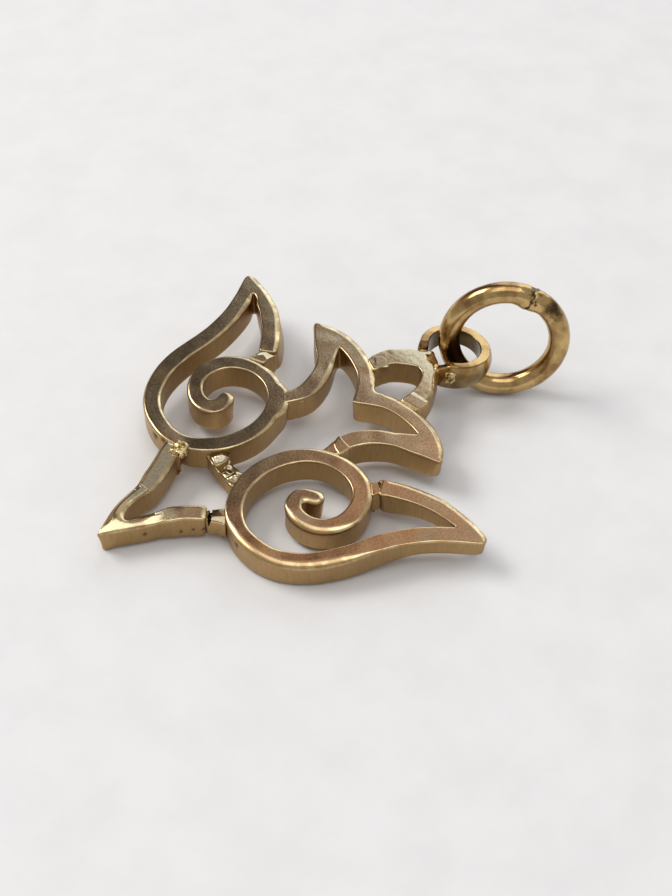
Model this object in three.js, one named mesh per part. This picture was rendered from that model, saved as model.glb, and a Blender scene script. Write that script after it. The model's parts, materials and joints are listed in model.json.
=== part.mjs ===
// Dove charm: brass strips in one plane, soldered edge to edge, with a bail band and a loose jump ring.
// Millimetres. The charm is drawn flat: x from tail to head, y to the left wing, z up from its back face.
import * as THREE from 'three';

const { degToRad, lerp, smoothstep } = THREE.MathUtils;

// Main sizes, to which the wings, feathers and tail are stretched: tail tip to the head's end, and wing tip to wing tip
const charmLength = 18.39;
const wingSpan = 19.04;

// Strips
const stripHeight = 1.5;
const stripWidth = 0.85;
const spiralEndWidth = 0.74;
const tailWidth = 0.58;
const barWidth = 0.74;
const bridgeWidth = 0.78;
const bridgeHeight = 1.25;

// Solder
const solderGap = 0.08;
const solderTop = 1.42;
const solderBottom = 0.1;

// Bail band, and the jump ring that runs through its eye
const eyeCentre = [4.72, 0.12];
const eyeRadius = 1.24;
const bandWall = 0.5;
const bandBottom = 0.3;
const bandHeight = 1.31;
const bandSlope = 0.105;
const bandRounding = 0.14;
const bandLeftEnd = degToRad(140);
const bandRightEnd = degToRad(215);
const ringDiameter = 6.25;
const wireDiameter = 1.05;
const ringYaw = degToRad(-37);
const ringLean = degToRad(-14);
const ringRise = 1.2;
const seamPlace = degToRad(68);
const seamOpening = 0.42;
const seamBulge = 0.05;

// Wings, drawn on the left half: each spiral's free end and quarter turns, then controls and ends of curves
const leftSpiral = [
  [-5.95, 3.32], [-6.43, 3.15], [-7.06, 3.9], [-5.5, 5.33], [-3.66, 3.3], [-6.4, 0.98], [-9.25, 3.5],
];
const rightSpiral = [
  [-5.62, 3.62], [-6.2, 3.17], [-6.85, 3.85], [-5.2, 5.36], [-3.46, 3.5], [-6.4, 0.98], [-9.36, 3.5],
];
const wingShoulder = 5.65;
const wingBack = [[-7.5, 6.58], [-5.6, 6.9], [-4.2, 7.12], [-3.05, 7.55], [-2.07, 8.24]];
const wingTip = [-0.87, 9.52];
const wingCrotch = [-1.46, 8.2];
const legLine = [[-1.12, 7.95], [-1.4, 6.3], [-2.85, 4.72]];

// Feathers, on the left half
const lowerLine = [[-2.75, 1.72], [-1.55, 1.98], [-0.8, 2.86]];
const upperLine = [[0.6, 2.9], [0.58, 1.2], [-0.24, 0.4]];
const featherShoulder = [-0.42, 3.9];
const featherTip = [0.1, 4.97];
const featherBrow = [0.92, 4.5];
const featherCrotch = [0.2, 3.17];
const breastNotch = [0.02, 0];
const throatNotch = [-1.28, 0];

// Filing of the right wing and feather, thinned from behind round their tips: depth, and where it fades out
const wingFiling = { depth: 0.45, full: 2.6, end: 5.5 };
const featherFiling = { depth: 0.25, full: 0.4, end: 3.2 };

// Tail and the bridge between the wings
const tailTip = [-14.52, -0.2];
const tailCrotch = [-13.2, -0.14];
const armStart = [-13.0, 0.45];
const armEnd = [-11.6, 0.9];
const barRun = 0.75;
const barFoot = [-10.05, 1.74];
const bridgeX = -7.95;
const bridgeReach = 0.4;

// Head, from its left foot to its right foot
const headOuter = [
  [1.5, 1.65], [1.78, 1.7], [2.16, 1.6], [3.87, 0.54], [2.88, -0.96], [2.06, -1.66], [1.72, -1.9],
];
const headInner = [
  [1.48, 0.86], [1.65, 0.92], [2.12, 0.56], [2.56, 0.12],
  [2.54, -0.16], [2.12, -0.62], [1.64, -0.88], [1.45, -0.96],
];

// Sideways shift of the soldered work for each millimetre towards the tail
const lean = 0.02;

// Fineness of the curves
const pointSpacing = 0.24;
const arcSteps = 24;
const wireSides = 12;
const ringSteps = 54;

const brass = new THREE.MeshStandardMaterial({ color: '#a98a52', metalness: 1, roughness: 0.34 });
const polished = new THREE.MeshStandardMaterial({ color: '#b8934a', metalness: 1, roughness: 0.2 });
const solder = new THREE.MeshStandardMaterial({ color: '#c9b47c', metalness: 1, roughness: 0.48 });
const scorched = new THREE.MeshStandardMaterial({ color: '#3d3222', metalness: 0.8, roughness: 0.7 });

const up = new THREE.Vector3(0, 0, 1);
const still = new THREE.Vector2();
const headEnd = Math.max(...headOuter.map(([x]) => x));
const lengthwise = (headEnd - charmLength) / tailTip[0];
const crosswise = wingSpan / (2 * wingTip[1]);
const spot = ([x, y]) => new THREE.Vector2(lengthwise * x, crosswise * y);
const headSpot = ([x, y]) => new THREE.Vector2(x, y);
const last = (points) => points[points.length - 1];

// Even points along a curve drawn from a start through controls and ends: three points, or cubic stretches
function drawn(points) {
  const path = new THREE.CurvePath();
  if (points.length === 3) {
    path.add(new THREE.QuadraticBezierCurve(...points));
  }
  for (let i = 0; points.length > 3 && i + 3 < points.length; i += 3) {
    path.add(new THREE.CubicBezierCurve(...points.slice(i, i + 4)));
  }
  return path.getSpacedPoints(Math.ceil(path.getLength() / pointSpacing));
}

// Left and right edges of a strip whose middle runs along the points, from one width to another
function edgesOf(middle, startWidth, endWidth = startWidth) {
  const left = [];
  const right = [];
  middle.forEach((place, i) => {
    const before = middle[Math.max(i - 1, 0)];
    const after = middle[Math.min(i + 1, middle.length - 1)];
    const half = lerp(startWidth, endWidth, i / (middle.length - 1)) / 2;
    const across = after.clone().sub(before).rotateAround(still, Math.PI / 2).setLength(half);
    left.push(place.clone().add(across));
    right.push(place.clone().sub(across));
  });
  return { left, right };
}

// Half circle that closes a strip's start, from its right edge round to its left edge
function roundStart({ left, right }) {
  const centre = left[0].clone().add(right[0]).multiplyScalar(0.5);
  const steps = arcSteps / 2;
  const turns = Array.from({ length: steps - 1 }, (_, i) => (-Math.PI * (i + 1)) / steps);
  return turns.map((turn) => right[0].clone().rotateAround(centre, turn));
}

// Stretch of a left edge that faces two points, moved off the edge by the solder gap
function facing(edge, from, to) {
  const ends = [from, to].map((p) => {
    const ways = edge.map((q) => q.distanceTo(p));
    return ways.indexOf(Math.min(...ways));
  });
  const first = Math.min(...ends);
  const stretch = edge.slice(first, Math.max(...ends) + 1).map((place, i) => {
    const before = edge[Math.max(first + i - 1, 0)];
    const after = edge[Math.min(first + i + 1, edge.length - 1)];
    return after.clone().sub(before).rotateAround(still, Math.PI / 2).setLength(solderGap).add(place);
  });
  return ends[0] === first ? stretch : stretch.reverse();
}

// Outline of a solder bead from the end of a strip to the edge that the end faces
function bead(endLeft, endRight, edge) {
  const along = endLeft.clone().sub(endRight).rotateAround(still, -Math.PI / 2).setLength(solderGap);
  const corners = [endLeft.clone().add(along), endRight.clone().add(along)];
  return [...corners, ...facing(edge, corners[1], corners[0])];
}

// Sets points on one side of the charm, with the lean of the soldered work
function placed(points, side) {
  return points.map((p) => new THREE.Vector2(p.x, side * p.y + lean * Math.max(0, -p.x)));
}

// Whole outline from its left half, whose first and last points lie near the axis
function mirrored(half) {
  return [...placed(half, 1), ...placed(half.slice(1, -1), -1).reverse()];
}

function plate(name, points, material = brass, bottom = 0, top = stripHeight) {
  const shape = new THREE.Shape(points);
  const geometry = new THREE.ExtrudeGeometry(shape, { depth: top - bottom, bevelEnabled: false });
  const mesh = new THREE.Mesh(geometry, material);
  mesh.name = name;
  mesh.position.z = bottom;
  return mesh;
}

// Gives every corner of a geometry a new height
function raised(geometry, heightAt) {
  const places = geometry.attributes.position;
  for (let i = 0; i < places.count; i += 1) {
    places.setZ(i, heightAt(places.getX(i), places.getY(i), places.getZ(i)));
  }
  geometry.computeVertexNormals();
}

// Files the back of a plate round a tip
function filed(mesh, tip, { depth, full, end }) {
  const cut = (x, y) => depth * (1 - smoothstep(Math.hypot(x - tip.x, y - tip.y), full, end));
  raised(mesh.geometry, (x, y, z) => (z > 0 ? z : cut(x, y)));
  return mesh;
}

function solderBead(name, points) {
  return plate(name, points, solder, solderBottom, solderTop);
}

// Wing's main strip: it uncurls from the spiral in quarter rounds and runs along the wing's back
function wingSweep(spiral) {
  const roundness = 0.5523;
  const [end, start] = spiral;
  const line = [end, end, [lerp(end[0], start[0], 0.5), start[1]], start];
  spiral.slice(2).forEach(([x, y], i) => {
    const [fromX, fromY] = spiral[i + 1];
    const [cornerX, cornerY] = i % 2 ? [fromX, y] : [x, fromY];
    line.push([lerp(fromX, cornerX, roundness), lerp(fromY, cornerY, roundness)]);
    line.push([lerp(x, cornerX, roundness), lerp(y, cornerY, roundness)], [x, y]);
  });
  line.push([last(spiral)[0], wingShoulder], ...wingBack);
  return edgesOf(drawn(line.map(spot)), spiralEndWidth, stripWidth);
}

// Wing: one strip from the spiral's free end to the tip, and back along the leg to the spiral's rim
const leg = edgesOf(drawn(legLine.map(spot)), stripWidth);
const wingOutline = (sweep) => [
  ...roundStart(sweep), ...sweep.left, spot(wingTip), ...leg.left,
  ...leg.right.toReversed(), spot(wingCrotch), ...sweep.right.toReversed(),
];

// Feathers: one strip in two points, from a foot on one wing's rim to a foot on the other's
const lower = edgesOf(drawn(lowerLine.map(spot)), stripWidth);
const upper = edgesOf(drawn(upperLine.map(spot)), stripWidth);
const underside = drawn([last(lower.left), spot(featherShoulder), spot(featherTip)]);
const brow = drawn([spot(featherTip), spot(featherBrow), upper.left[0]]);
const featherHalf = [
  spot(throatNotch), ...upper.right.toReversed(), spot(featherCrotch), ...lower.right.toReversed(),
  ...lower.left, ...underside.slice(1), ...brow.slice(1), ...upper.left.slice(1), spot(breastNotch),
];

// Tail: a chevron with a bar on each arm, in line with the arm where it starts
const armLine = spot(armEnd).sub(spot(armStart)).normalize();
const barStart = armLine.clone().multiplyScalar(solderGap).add(spot(armEnd));
const barBend = armLine.clone().multiplyScalar(barRun).add(spot(armEnd));
const arm = edgesOf([spot(armStart), spot(armEnd)], tailWidth);
const bar = edgesOf(drawn([barStart, barBend, spot(barFoot)]), barWidth);
const tailHalf = [spot(tailTip), ...arm.left, ...arm.right.toReversed(), spot(tailCrotch)];

// Bridge across the axis, whose ends face the wings' rims
const bridgeFoot = spot([bridgeX, bridgeReach]);
const bridgeEnd = [-1, 1].map((end) => new THREE.Vector2((end * bridgeWidth) / 2, 0).add(bridgeFoot));

// Head: an arch with a blunt end, whose feet face the feathers
const headEdge = headOuter.slice(1).flatMap((end, i) => {
  const steps = Math.ceil(headSpot(end).distanceTo(headSpot(headOuter[i])) / pointSpacing);
  return Array.from({ length: steps }, (_, k) => headSpot(headOuter[i]).lerp(headSpot(end), k / steps));
});

// Bail band: part of a ring that opens towards the head, higher on the near side of the jump ring
function bailBand() {
  const shape = new THREE.Shape();
  shape.absarc(0, 0, eyeRadius + bandWall, bandRightEnd, bandLeftEnd, false);
  shape.absarc(0, 0, eyeRadius, bandLeftEnd, bandRightEnd, true);
  const geometry = new THREE.ExtrudeGeometry(shape, {
    depth: bandHeight - 2 * bandRounding, curveSegments: arcSteps, bevelSize: bandRounding,
    bevelThickness: bandRounding, bevelOffset: -bandRounding, bevelSegments: 2,
  });
  geometry.translate(0, 0, bandRounding);
  raised(geometry, (x, y, z) => z * (1 + bandSlope * (x * Math.sin(ringYaw) - y * Math.cos(ringYaw))));
  const mesh = new THREE.Mesh(geometry, polished);
  mesh.name = 'bail_band';
  mesh.position.set(...eyeCentre, bandBottom);
  return mesh;
}

// Corner of one end of the band, at a distance from the eye's centre
function bandCorner(radius, end) {
  return new THREE.Vector2(radius, 0).rotateAround(still, end).add(headSpot(eyeCentre));
}

// Jump ring: a wire bent round from seam to seam, standing in the eye; its middle passes the eye's centre
const ringRadius = (ringDiameter - wireDiameter) / 2;
const ringReach = Math.sqrt(ringRadius ** 2 - ringRise ** 2);
const ring = new THREE.Group();
ring.position.set(...eyeCentre, stripHeight / 2);
ring.rotation.set(ringLean, 0, ringYaw, 'ZXY');

const ringSpot = (turn) => new THREE.Vector3(
  ringReach + ringRadius * Math.cos(turn), 0, ringRise + ringRadius * Math.sin(turn));

function jumpRing() {
  const gap = seamOpening / ringRadius;
  const turn = (i) => seamPlace + lerp(gap / 2, 2 * Math.PI - gap / 2, i / ringSteps);
  const places = Array.from({ length: ringSteps + 1 }, (_, i) => ringSpot(turn(i)));
  const wire = new THREE.Shape().absarc(0, 0, wireDiameter / 2, 0, 2 * Math.PI);
  const geometry = new THREE.ExtrudeGeometry(wire, {
    steps: ringSteps, curveSegments: wireSides, extrudePath: new THREE.CatmullRomCurve3(places),
  });
  const mesh = new THREE.Mesh(geometry, polished);
  mesh.name = 'jump_ring';
  return mesh;
}

function seamSolder() {
  const radius = wireDiameter / 2 + seamBulge;
  const geometry = new THREE.CylinderGeometry(radius, radius, seamOpening - 2 * solderGap, wireSides);
  const mesh = new THREE.Mesh(geometry.rotateX(Math.PI / 2), scorched);
  mesh.name = 'jump_ring_seam';
  mesh.position.copy(ringSpot(seamPlace));
  mesh.rotation.y = -seamPlace;
  return mesh;
}

const charm = new THREE.Group();
const sweeps = { left: wingSweep(leftSpiral), right: wingSweep(rightSpiral) };
for (const [word, sweep] of Object.entries(sweeps)) {
  const side = word === 'left' ? 1 : -1;
  const headFoot = side > 0 ? [headInner[0], headOuter[0]] : [last(headInner), last(headOuter)];
  const [headLeft, headRight] = headFoot.map(([x, y]) => headSpot([x, side * y]));
  const bandEnd = side > 0
    ? [bandCorner(eyeRadius, bandLeftEnd), bandCorner(eyeRadius + bandWall, bandLeftEnd)]
    : [bandCorner(eyeRadius + bandWall, bandRightEnd), bandCorner(eyeRadius, bandRightEnd)];
  const wing = plate(`${word}_wing`, placed(wingOutline(sweep), side));
  charm.add(side > 0 ? wing : filed(wing, placed([spot(wingTip)], side)[0], wingFiling));
  charm.add(plate(`${word}_tail_bar`, placed([...bar.left, ...bar.right.toReversed()], side)));
  const beads = {
    leg: bead(last(leg.left), last(leg.right), sweep.left),
    feather: bead(lower.right[0], lower.left[0], sweep.left),
    tail: bead(last(bar.left), last(bar.right), sweep.left),
    bridge: bead(...bridgeEnd, sweep.left),
    head: bead(headLeft, headRight, upper.left),
  };
  for (const [joint, points] of Object.entries(beads)) {
    charm.add(solderBead(`${word}_${joint}_solder`, placed(points, side)));
  }
  charm.add(solderBead(`${word}_bail_solder`, bead(...bandEnd, headEdge)));
}
const feathers = plate('body_feathers', mirrored(featherHalf));
charm.add(filed(feathers, placed([spot(featherTip)], -1)[0], featherFiling));
charm.add(plate('tail_chevron', mirrored(tailHalf)));
const bridge = [...placed(bridgeEnd, 1), ...placed(bridgeEnd.toReversed(), -1)];
charm.add(plate('cross_bridge', bridge, brass, 0, bridgeHeight));
charm.add(plate('head_arch', [...headOuter, ...headInner.toReversed()].map(headSpot)));
charm.add(bailBand());
ring.add(jumpRing(), seamSolder());
charm.add(ring);

// The charm lies on its tail tip, the jump ring and the first point of the right wing's rim to touch
const tailFoot = placed([spot(tailTip)], 1)[0];
const slope = (p) => (p.y - tailFoot.y) / (p.x - tailFoot.x);
const wingFoot = placed(sweeps.right.left, -1).reduce((low, p) => (slope(p) < slope(low) ? p : low));
ring.updateMatrix();
const ringFoot = ringSpot(-Math.PI / 2).applyMatrix4(ring.matrix).addScaledVector(up, -wireDiameter / 2);
const floor = new THREE.Plane().setFromCoplanarPoints(
  new THREE.Vector3(tailFoot.x, tailFoot.y, 0), new THREE.Vector3(wingFoot.x, wingFoot.y, 0), ringFoot);
charm.quaternion.setFromUnitVectors(floor.normal, up);

// The origin is under the middle of the charm's box, on the surface that it lies on
const box = new THREE.Box3().setFromObject(charm, true);
const middle = box.getCenter(new THREE.Vector3());
charm.position.set(-middle.x, -middle.y, -box.min.z);

export default charm;
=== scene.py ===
import json
import math
import bpy
import numpy
from mathutils import Matrix, Vector, bvhtree, geometry, kdtree, noise


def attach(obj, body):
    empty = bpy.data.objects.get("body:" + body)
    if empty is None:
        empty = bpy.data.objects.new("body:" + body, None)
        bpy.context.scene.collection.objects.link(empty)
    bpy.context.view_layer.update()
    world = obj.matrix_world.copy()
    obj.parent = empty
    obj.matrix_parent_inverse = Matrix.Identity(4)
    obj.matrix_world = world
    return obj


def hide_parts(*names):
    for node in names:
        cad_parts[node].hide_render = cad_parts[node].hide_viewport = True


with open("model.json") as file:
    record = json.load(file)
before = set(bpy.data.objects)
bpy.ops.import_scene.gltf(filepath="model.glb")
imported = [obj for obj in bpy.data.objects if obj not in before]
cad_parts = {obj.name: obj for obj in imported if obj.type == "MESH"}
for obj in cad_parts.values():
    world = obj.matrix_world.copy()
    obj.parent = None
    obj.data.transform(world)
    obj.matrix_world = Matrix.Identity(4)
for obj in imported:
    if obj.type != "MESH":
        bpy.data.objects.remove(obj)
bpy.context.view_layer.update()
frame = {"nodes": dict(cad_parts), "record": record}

scene = bpy.context.scene
scene.view_settings.view_transform = "Standard"
mm = 0.001

# the flat charm: x from tail to head, y to the left wing, z up from its back face, in mm
hinge = frame["record"]["behaviour"]["joints"][0]
eye = Vector((4.72, 0.12, 0.75))  # the hinge's place on the flat charm
tilt = Vector((0, 0, 1)).rotation_difference(Vector(hinge["axis"])).to_matrix().to_4x4()
lay = Matrix.Translation(Vector(hinge["pos_m"])) @ tilt @ Matrix.Scale(mm, 4) @ Matrix.Translation(-eye)
flat = lay.inverted()


def smooth(value, low, high):
    t = numpy.clip((value - low) / (high - low), 0, 1)
    return t * t * (3 - 2 * t)


def wobble(spots, size):
    return numpy.array([noise.noise(Vector(p) / size) for p in spots])


# sRGB hex to linear
def colour(hexText):
    parts = [int(hexText[i:i + 2], 16) / 255 for i in (1, 3, 5)]
    return (*[p / 12.92 if p <= 0.04045 else ((p + 0.055) / 1.055) ** 2.4 for p in parts], 1)


def skyward(azimuth, elevation):
    a, e = math.radians(azimuth), math.radians(elevation)
    return Vector((math.cos(e) * math.cos(a), math.cos(e) * math.sin(a), math.sin(e)))


# adds a node with its feeds and settings: a feed goes to an input's name or number, and is a value,
# a socket, or a node for its first output in use
def addNode(tree, kind, feeds={}, **settings):
    node = tree.nodes.new(kind)
    for name, value in settings.items():
        if name == "stops":
            points = node.color_ramp.elements
            while len(points) < len(value):
                points.new(0.5)
            for point, (place, shade) in zip(points, value):
                point.position = place
                point.color = colour(shade) if isinstance(shade, str) else (shade, shade, shade, 1)
        else:
            setattr(node, name, value)
    named = {socket.name: socket for socket in node.inputs if socket.enabled}
    for name, value in feeds.items():
        entry = node.inputs[name] if isinstance(name, int) else named[name]
        if isinstance(value, bpy.types.Node):
            value = next(socket for socket in value.outputs if socket.enabled)
        if isinstance(value, bpy.types.NodeSocket):
            tree.links.new(value, entry)
        else:
            entry.default_value = value
    return node


# a material from a rule that gives what feeds its shader
def newMaterial(name, rule, *given):
    material = bpy.data.materials.new(name)
    material.use_nodes = True
    tree = material.node_tree
    tree.nodes.clear()
    coords = addNode(tree, "ShaderNodeTexCoord").outputs["Object"]
    shader = addNode(tree, "ShaderNodeBsdfPrincipled", rule(tree, coords, *given))
    addNode(tree, "ShaderNodeOutputMaterial", {"Surface": shader})
    return material


# brass strip, cast and then rubbed on its face: satin faces painted olive on the far wing and bronze on the
# near one as a painted reflection, golden cast walls with upright lines, and pale edges, part wear and part
# painted highlight
brassStrip = {
    "patches": {"Scale": 1 / (2.4 * mm), "Detail": 3, "Roughness": 0.6},
    "satin": {"Scale": 1 / (0.1 * mm), "Detail": 3, "Roughness": 0.7},  # coarser than real grains, to show
    "lines": {"Scale": 1 / (0.11 * mm), "Detail": 4, "Roughness": 0.65}, "lineStretch": (1, 1, 0.1),
    "wear": {"Scale": 1 / (0.6 * mm), "Detail": 2, "Roughness": 0.6},
    "faceStops": [(0.45, "#d8b68e"), (1.0, "#c2b89c")],  # bronze to olive
    # faces go from bronze on the near wing to olive on the far wing across y: a painted reflection of the
    # darker room over the far wing
    "span": {"From Min": -6 * mm, "From Max": 6 * mm}, "patchShare": 0.9,
    "satinStops": [(0.32, 0.62), (0.6, 1.0)], "satinShare": 0.6,
    "wallStops": [(0.25, "#a48457"), (0.7, "#b69667")],
    "wearStops": [(0.38, 0.05), (0.62, 0.9)], "edge": "#f3e0ae", "pit": "#2a2014",
    "wallRough": {"To Min": 0.3, "To Max": 0.45}, "faceRough": {"To Min": 0.1, "To Max": 0.22},
    "edgeRough": 0.14, "bump": {"Strength": 0.2, "Distance": 0.015 * mm},
}


def rubbedBrass(tree, coords, s):
    face, edge, pit = (addNode(tree, "ShaderNodeAttribute", attribute_name=name).outputs["Fac"]
                       for name in ("face", "edge", "pit"))
    patches, satin, wear = (addNode(tree, "ShaderNodeTexNoise", {"Vector": coords, **s[name]})
                            for name in ("patches", "satin", "wear"))
    upright = addNode(tree, "ShaderNodeMapping", {"Vector": coords, "Scale": s["lineStretch"]})
    lines = addNode(tree, "ShaderNodeTexNoise", {"Vector": upright, **s["lines"]})
    # across y, for the painted reflection that makes far faces olive and near faces bronze
    across = addNode(tree, "ShaderNodeSeparateXYZ", {"Vector": coords}).outputs["Y"]
    across = addNode(tree, "ShaderNodeMapRange", {"Value": across, **s["span"]})
    toneAndSideReflection = addNode(tree, "ShaderNodeMath", {
        0: patches, 1: s["patchShare"], 2: across}, operation="MULTIPLY_ADD")
    faceColour, grain, wallColour, wearing = (
        addNode(tree, "ShaderNodeValToRGB", {"Fac": value}, stops=s[name]) for name, value in (
            ("faceStops", toneAndSideReflection), ("satinStops", satin), ("wallStops", lines), ("wearStops", wear)))
    faceColour = addNode(tree, "ShaderNodeMix", {
        "Factor": s["satinShare"], "A": faceColour, "B": grain}, data_type="RGBA", blend_type="MULTIPLY")
    body = addNode(tree, "ShaderNodeMix", {
        "Factor": face, "A": wallColour, "B": faceColour}, data_type="RGBA")
    # pale edge colour where the edge mark and the wear meet: wear, and a painted highlight on edges facing
    # the bright side
    wornAndHighlit = addNode(tree, "ShaderNodeMath", {0: edge, 1: wearing}, operation="MULTIPLY")
    for part, shade in ((wornAndHighlit, s["edge"]), (pit, s["pit"])):
        body = addNode(tree, "ShaderNodeMix", {
            "Factor": part, "A": body, "B": colour(shade)}, data_type="RGBA")
    wallRough = addNode(tree, "ShaderNodeMapRange", {"Value": lines, **s["wallRough"]})
    faceRough = addNode(tree, "ShaderNodeMapRange", {"Value": satin, **s["faceRough"]})
    rough = addNode(tree, "ShaderNodeMix", {"Factor": face, "A": wallRough, "B": faceRough})
    rough = addNode(tree, "ShaderNodeMix", {"Factor": wornAndHighlit, "A": rough, "B": s["edgeRough"]})
    height = addNode(tree, "ShaderNodeMix", {"Factor": face, "A": lines, "B": satin})
    bump = addNode(tree, "ShaderNodeBump", {"Height": height, **s["bump"]})
    return {"Base Color": body, "Metallic": 1, "Roughness": rough, "Normal": bump}


# drawn brass wire and band, tumbled bright: smooth and golden, with a little tarnish in patches, a brown
# burn by the seam, and a near-black mark: soot in the seam's crack and painted shade on the bail band
polishedBrass = {
    "patches": {"Scale": 1 / (1.2 * mm), "Detail": 4, "Roughness": 0.6},
    "stops": [(0.36, "#93734a"), (0.56, "#c9aa74")],  # tarnish to gold
    "ragged": {"Scale": 1 / (0.35 * mm), "Detail": 4, "Roughness": 0.7}, "raggedReach": 1.6 * mm,
    "burn": "#33261a", "burnFade": {"From Min": 1.425 * mm, "From Max": 0.975 * mm, "To Max": 0.85},
    "oxide": "#15100a", "rough": {"To Min": 0.26, "To Max": 0.1},
    "drawn": {"Scale": 1 / (0.09 * mm), "Detail": 3, "Roughness": 0.6},  # coarser than real marks, to show
    "bump": {"Strength": 0.1, "Distance": 0.012 * mm},
}


def tumbledBrass(tree, coords, s, burnPlace):
    patches, ragged, drawn = (addNode(tree, "ShaderNodeTexNoise", {"Vector": coords, **s[name]})
                              for name in ("patches", "ragged", "drawn"))
    body = addNode(tree, "ShaderNodeValToRGB", {"Fac": patches}, stops=s["stops"])
    away = addNode(tree, "ShaderNodeVectorMath", {0: coords, 1: burnPlace}, operation="DISTANCE")
    ragged = addNode(tree, "ShaderNodeMath", {
        0: ragged, 1: s["raggedReach"], 2: away}, operation="MULTIPLY_ADD")
    burnt = addNode(tree, "ShaderNodeMapRange", {"Value": ragged, **s["burnFade"]})
    # near-black mark: soot in the ring's seam crack, and painted shade on the bail band's walls
    sootAndShade = addNode(tree, "ShaderNodeAttribute", attribute_name="burn").outputs["Fac"]
    for part, shade in ((burnt, s["burn"]), (sootAndShade, s["oxide"])):
        body = addNode(tree, "ShaderNodeMix", {
            "Factor": part, "A": body, "B": colour(shade)}, data_type="RGBA")
    rough = addNode(tree, "ShaderNodeMapRange", {"Value": patches, **s["rough"]})
    bump = addNode(tree, "ShaderNodeBump", {"Height": drawn, **s["bump"]})
    return {"Base Color": body, "Metallic": 1, "Roughness": rough, "Normal": bump}


# brass solder as it froze: paler than the strip, granular and sparkling, dark between the grains
granularSolder = {
    "cells": {"Scale": 1 / (0.13 * mm)}, "cellShare": -0.35,
    "cloud": {"Scale": 1 / (0.26 * mm), "Detail": 3, "Roughness": 0.6},
    "stops": [(0.12, "#7d6238"), (0.36, "#e6d09a")], "rough": {"To Min": 0.15, "To Max": 0.45},
    "bump": {"Strength": 0.5, "Distance": 0.03 * mm},
}


def frozenSolder(tree, coords, s):
    cells = addNode(tree, "ShaderNodeTexVoronoi", {"Vector": coords, **s["cells"]})
    cloud = addNode(tree, "ShaderNodeTexNoise", {"Vector": coords, **s["cloud"]})
    mixed = addNode(tree, "ShaderNodeMath", {
        0: cells, 1: s["cellShare"], 2: cloud}, operation="MULTIPLY_ADD")
    body = addNode(tree, "ShaderNodeValToRGB", {"Fac": mixed}, stops=s["stops"])
    rough = addNode(tree, "ShaderNodeMapRange", {"Value": cloud, **s["rough"]})
    bump = addNode(tree, "ShaderNodeBump", {"Height": cells, **s["bump"]}, invert=True)
    return {"Base Color": body, "Metallic": 1, "Roughness": rough, "Normal": bump}


# top outline of a CAD plate on the flat charm, with the back's height under each corner as z
def outlineOf(nodeName):
    mesh = frame["nodes"][nodeName].data
    spots = [flat @ v.co for v in mesh.vertices]
    top = max(p.z for p in spots)
    topSlack, sameSpot = 0.02, 0.01
    keys = [(round(p.x, 3), round(p.y, 3)) for p in spots]
    around = kdtree.KDTree(len(spots))
    for i, p in enumerate(spots):
        around.insert((p.x, p.y, 0), i)
    around.balance()
    edges = set()
    for polygon in mesh.polygons:
        ring = list(polygon.vertices)
        if all(spots[i].z > top - topSlack for i in ring):
            edges.update((keys[a], keys[b]) for a, b in zip(ring, ring[1:] + ring[:1]))
    onward = {a: b for a, b in edges if (b, a) not in edges}
    loop = [min(onward)]
    while onward[loop[-1]] != loop[0]:
        loop.append(onward[loop[-1]])
    backs = [min(spots[i].z for _, i, _ in around.find_range((x, y, 0), sameSpot)) for x, y in loop]
    return top, [Vector((x, y, z)) for (x, y), z in zip(loop, backs)]


# evenly spaced points on a closed outline, smooth between the corners that turn more than the given angle
def smoothLoop(loop, spacing, corner):
    count = len(loop)
    steps = [loop[(i + 1) % count] - loop[i] for i in range(count)]
    sharp = [abs(steps[i - 1].xy.angle_signed(steps[i].xy)) > math.radians(corner) for i in range(count)]
    slopes = []
    for i in range(count):
        before, after = steps[i - 1], steps[i]
        a, b = before.length, after.length
        slopes.append((before / a * b + after / b * a) / (a + b))
    path = []
    for i in range(count):
        j = (i + 1) % count
        size = steps[i].length
        start = steps[i] / size if sharp[i] else slopes[i]
        end = steps[i] / size if sharp[j] else slopes[j]
        parts = max(1, round(size / spacing))
        for k in range(parts):
            t = k / parts
            path.append(
                loop[i] * (2 * t ** 3 - 3 * t ** 2 + 1) + start * size * (t ** 3 - 2 * t ** 2 + t)
                + loop[j] * (3 * t ** 2 - 2 * t ** 3) + end * size * (t ** 3 - t ** 2))
    return path


def relaxed(points, times):
    spots = numpy.array(points, float)
    for _ in range(times):
        spots = (numpy.roll(spots, 1, 0) + 2 * spots + numpy.roll(spots, -1, 0)) / 4
    return spots


# inward direction at each point, longer at corners so that an inset stays even
def inwards(path):
    tightest = 0.6
    step = numpy.roll(path, -1, 0)[:, :2] - path[:, :2]
    step /= numpy.linalg.norm(step, axis=1)[:, None]
    mean = step + numpy.roll(step, 1, 0)
    mean /= numpy.linalg.norm(mean, axis=1)[:, None]
    stretch = numpy.maximum(tightest, (mean * step).sum(1))
    return numpy.column_stack((-mean[:, 1], mean[:, 0])) / stretch[:, None]


# room across the piece at each point of its outline, so that insets never meet
def roomAcross(path, inward):
    clear, reach, calm = 0.02, 3, 6  # start of the look across, points that share it, rounds of easing
    count = len(path)
    walls = [Vector((p[0], p[1], z)) for z in (-1, 1) for p in path]
    quads = [(i, (i + 1) % count, count + (i + 1) % count, count + i) for i in range(count)]
    tree = bvhtree.BVHTree.FromPolygons(walls, quads)
    found = []
    for p, n in zip(path, inward):
        way = Vector((n[0], n[1], 0)).normalized()
        hit = tree.ray_cast(Vector((p[0], p[1], 0)) + way * clear, way)
        found.append((hit[3] or 0) + clear)
    least = numpy.min([numpy.roll(found, k) for k in range(-reach, reach + 1)], axis=0)
    return relaxed(least, calm)


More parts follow.
